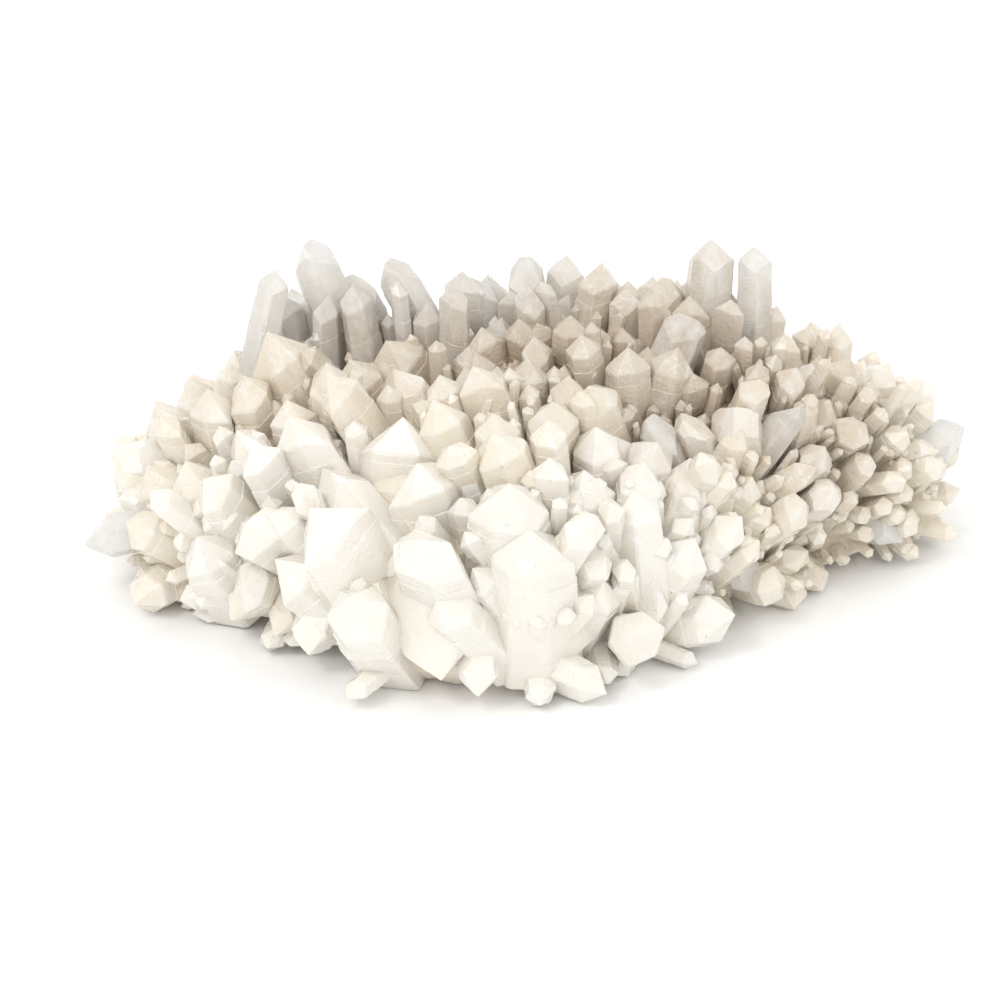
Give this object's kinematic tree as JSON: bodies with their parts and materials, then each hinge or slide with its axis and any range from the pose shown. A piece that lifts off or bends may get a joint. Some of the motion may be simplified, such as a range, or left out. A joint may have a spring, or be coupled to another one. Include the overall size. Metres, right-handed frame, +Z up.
{
  "type": "quartz crystal cluster",
  "caption": "Natural quartz crystal cluster: clear, cream and milky six-sided points growing outwards from a flat-bottomed crystalline matrix.",
  "frame": {"origin": "middle of the cluster's plan box, on the surface that it rests on", "axes": "+X along the cluster's long side, towards its thin end; +Z up from the resting face; the broad front point of the cluster is on the -Y side"},
  "size_m": [0.1776, 0.1022, 0.062],
  "materials": {
    "clear_quartz": "clear to faintly veiled quartz, glassy faces",
    "grey_quartz": "smoky grey translucent quartz, glassy faces",
    "cream_quartz": "cream translucent quartz, satin faces with fine growth lines",
    "milky_quartz": "near-white milky quartz, satin faces with fine growth lines",
    "beige_quartz": "beige iron-stained quartz, satin to rough faces",
    "matrix_quartz": "rough milky quartz crust, iron stain in the crevices"
  },
  "bodies": {
    "root": {"matrix": "matrix_quartz", "back_left_tall_crystal": "clear_quartz", "back_right_dome_crystal": "grey_quartz", "back_right_tall_crystal": "clear_quartz", "back_left_sparkling_crystal": "clear_quartz", "back_striated_crystal": "clear_quartz", "back_rounded_crystal": "grey_quartz", "back_centre_clear_crystal": "clear_quartz", "back_left_slender_crystal": "clear_quartz", "right_leaning_prism": "clear_quartz", "front_great_crystal": "milky_quartz", "front_left_hex_crystal": "milky_quartz", "front_slab_crystal": "cream_quartz", "centre_crown_crystal": "cream_quartz", "centre_white_crystal": "milky_quartz", "centre_striated_crystal": "cream_quartz", "front_middle_crystal": "milky_quartz", "front_point_crystal": "milky_quartz", "front_right_broad_crystal": "milky_quartz", "front_right_blunt_crystal": "milky_quartz", "front_right_low_crystal": "milky_quartz", "front_block_crystal": "cream_quartz", "front_toe_crystal": "milky_quartz", "left_front_long_crystal": "milky_quartz", "left_front_foot_crystal": "milky_quartz", "left_rim_hex_crystal": "cream_quartz", "left_rim_point_crystal": "cream_quartz", "left_end_crystal": "clear_quartz", "left_high_block_crystal": "milky_quartz", "left_low_block_crystal": "milky_quartz", "left_upper_crystal": "milky_quartz", "left_shoulder_crystal": "cream_quartz", "left_back_block_crystal": "cream_quartz", "left_slope_block_crystal": "cream_quartz", "left_slope_pale_crystal": "cream_quartz", "centre_left_slender_crystal": "cream_quartz", "centre_right_slender_crystal": "clear_quartz", "centre_sparkling_crystal": "clear_quartz", "centre_beige_crystal": "beige_quartz", "right_ridge_first_crystal": "clear_quartz", "right_ridge_second_crystal": "milky_quartz", "right_ridge_peak_crystal": "milky_quartz", "right_slope_upper_crystal": "milky_quartz", "right_slope_lower_crystal": "milky_quartz", "right_rim_near_crystal": "clear_quartz", "right_rim_far_crystal": "clear_quartz", "right_end_crystal": "clear_quartz", "right_end_upper_crystal": "milky_quartz", "right_back_crystal": "milky_quartz", "right_shoulder_crystal": "milky_quartz", "right_upper_crystal": "milky_quartz", "right_back_block_crystal": "beige_quartz", "back_right_glossy_crystal": "clear_quartz", "back_beige_block_crystal": "beige_quartz", "back_beige_pointed_crystal": "beige_quartz", "back_right_peak_crystal": "beige_quartz", "back_left_grey_crystal": "grey_quartz", "rear_left_leaning_crystal": "milky_quartz", "rear_middle_leaning_crystal": "clear_quartz", "rear_right_leaning_crystal": "milky_quartz"}
  },
  "joints": []
}
